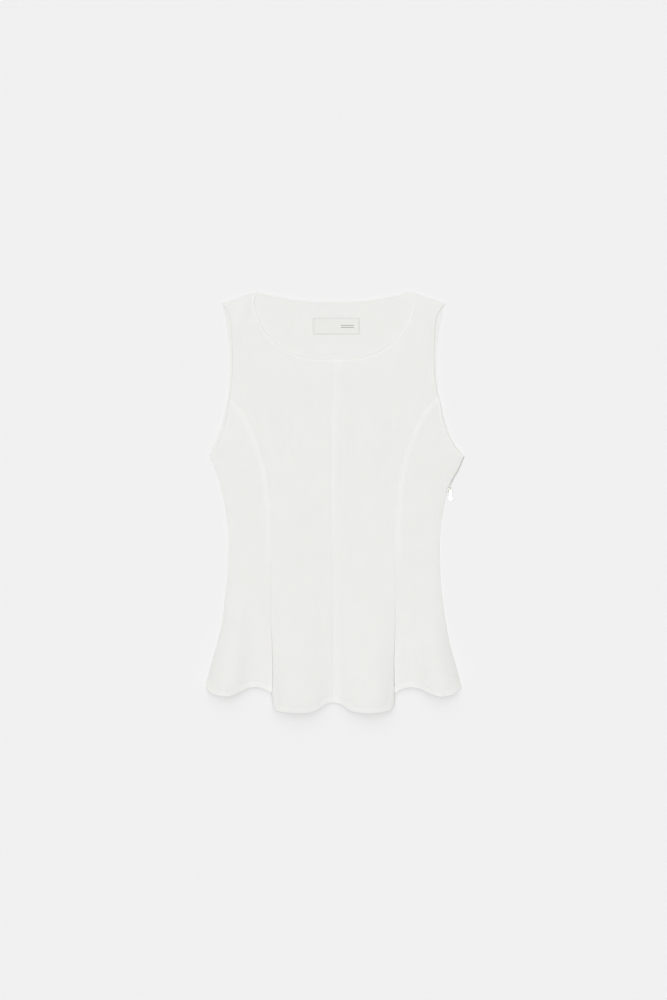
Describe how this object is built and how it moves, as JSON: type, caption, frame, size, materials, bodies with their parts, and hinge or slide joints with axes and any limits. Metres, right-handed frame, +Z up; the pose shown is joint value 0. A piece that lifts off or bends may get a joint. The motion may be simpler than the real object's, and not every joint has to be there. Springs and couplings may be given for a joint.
{
  "type": "peplum top",
  "caption": "Sleeveless top laid flat, with a round scoop neck, princess seams, a fluted flared hem and a side zip with a hinged pull tab.",
  "frame": {"origin": "bottom centre of the part's box, on the surface it lies on", "axes": "+X towards the wearer's left, +Y towards the neck, +Z up from the surface"},
  "size_m": [0.3835, 0.6238, 0.0162],
  "materials": {
    "crepe": "matt woven crepe",
    "label_satin": "smooth woven satin",
    "zip_coil": "nylon coil and woven tape",
    "zip_metal": "satin nickel"
  },
  "bodies": {
    "garment": {"front_centre_right": "crepe", "front_centre_left": "crepe", "front_side_right": "crepe", "front_side_left": "crepe", "back": "crepe", "neck_label": "label_satin", "zip_chain": "zip_coil", "zip_slider": "zip_metal"},
    "pull": {"zip_pull": "zip_metal"}
  },
  "joints": [
    {"name": "pull_swing", "type": "hinge", "parent": "garment", "child": "pull", "pos_m": [0.1709, 0.0198, 0.0022], "axis": [-1, 0, 0], "range_deg": [0, 130]}
  ]
}
